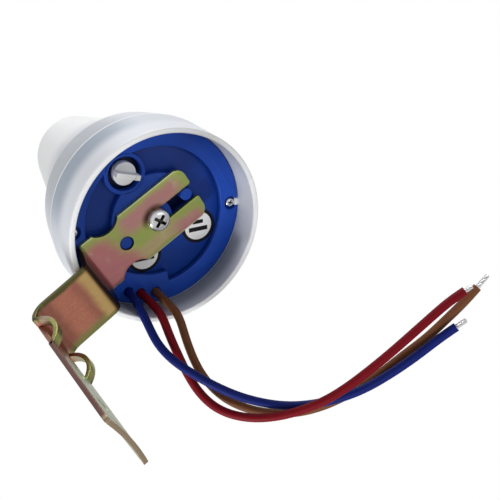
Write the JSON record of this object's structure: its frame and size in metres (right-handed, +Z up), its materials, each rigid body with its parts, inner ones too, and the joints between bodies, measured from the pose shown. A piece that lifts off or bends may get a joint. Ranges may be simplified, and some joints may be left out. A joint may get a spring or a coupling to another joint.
{
  "type": "photocell switch",
  "caption": "Dusk-to-dawn photocell switch: a milky bell cap over a blue base with a turning sensitivity knob, on a folded strap bracket, with loose connecting wires.",
  "frame": {"origin": "middle of the two wall holes, on the back face of the bracket's leg", "axes": "+Z up along the cap's axis to its nose, +Y out of the leg's back into the wall, +X to the side where the wires leave"},
  "size_m": [0.0846, 0.1006, 0.143],
  "materials": {
    "cap_plastic": "milky white moulding, satin gloss",
    "base_plastic": "royal blue moulding, satin gloss",
    "passivated_zinc": "zinc plate with an iridescent yellow passivation",
    "bright_zinc": "bright zinc plate",
    "knob_plastic": "white moulding",
    "pot_plastic": "dark blue moulding",
    "board": "tan phenolic sheet",
    "relay_plastic": "blue moulding",
    "film_plastic": "yellow-brown dip",
    "sleeve_plastic": "dark shrunk sleeve",
    "black_epoxy": "black moulding",
    "resistor_body": "tan lacquer",
    "sensor_face": "clear-coated ceramic disc",
    "tinned_copper": "tinned",
    "sticker_paper": "white with a dark border",
    "blue_insulation": "navy flexible plastic",
    "red_insulation": "crimson flexible plastic",
    "brown_insulation": "brown flexible plastic"
  },
  "bodies": {
    "unit": {"cap": "cap_plastic", "base": "base_plastic", "bracket": "passivated_zinc", "bracket_screw": "bright_zinc", "cap_screws": "bright_zinc", "potentiometer": "pot_plastic", "circuit_board": "board", "board_screws": "bright_zinc", "relay": "relay_plastic", "film_capacitor": "film_plastic", "electrolytic_capacitor": "sleeve_plastic", "rectifier_diodes": "black_epoxy", "resistors": "resistor_body", "transistor": "black_epoxy", "light_sensor": "sensor_face", "sensor_leads": "tinned_copper", "solder_joints": "tinned_copper", "inspection_stickers": "sticker_paper", "blue_wire": "blue_insulation", "red_wire": "red_insulation", "brown_wire": "brown_insulation", "blue_strands": "tinned_copper", "red_strands": "tinned_copper", "brown_strands": "tinned_copper"},
    "adjuster": {"adjust_knob": "knob_plastic"}
  },
  "joints": [
    {"name": "knob_turn", "type": "hinge", "parent": "unit", "child": "adjuster", "pos_m": [-0.0171, -0.04445, 0.0434], "axis": [0, 0, 1], "range_deg": [-130, 130]}
  ]
}
